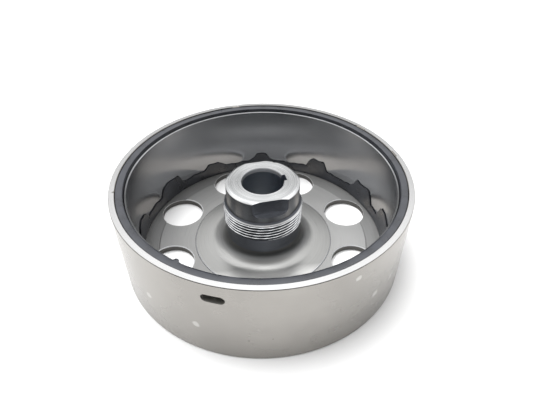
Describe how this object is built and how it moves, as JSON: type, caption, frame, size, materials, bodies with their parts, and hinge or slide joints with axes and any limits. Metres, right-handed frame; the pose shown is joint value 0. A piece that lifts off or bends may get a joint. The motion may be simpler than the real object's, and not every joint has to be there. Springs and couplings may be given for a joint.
{
  "type": "magneto flywheel",
  "caption": "Outer-rotor magneto flywheel: a shallow steel cup with vent holes in its floor, a threaded hub with a keyed taper bore, and a sleeve-covered magnet ring.",
  "frame": {"origin": "centre of the flat back face, on the spin axis", "axes": "+Z along the spin axis out of the open side, -Y the front seen in the picture, +X to its right"},
  "size_m": [0.125, 0.125, 0.0393],
  "materials": {
    "machined_steel": "fine turned, satin",
    "turned_steel": "fine turned and ground, bright",
    "polished_stainless": "rolled and polished",
    "black_resin": "cast, matte",
    "magnet_coat": "dark coated"
  },
  "bodies": {
    "root": {"rotor_cup": "machined_steel", "hub": "turned_steel", "magnet_sleeve": "polished_stainless", "potting_resin": "black_resin", "magnet_01": "magnet_coat", "magnet_02": "magnet_coat", "magnet_03": "magnet_coat", "magnet_04": "magnet_coat", "magnet_05": "magnet_coat", "magnet_06": "magnet_coat", "magnet_07": "magnet_coat", "magnet_08": "magnet_coat", "magnet_09": "magnet_coat", "magnet_10": "magnet_coat", "magnet_11": "magnet_coat", "magnet_12": "magnet_coat"}
  },
  "joints": []
}
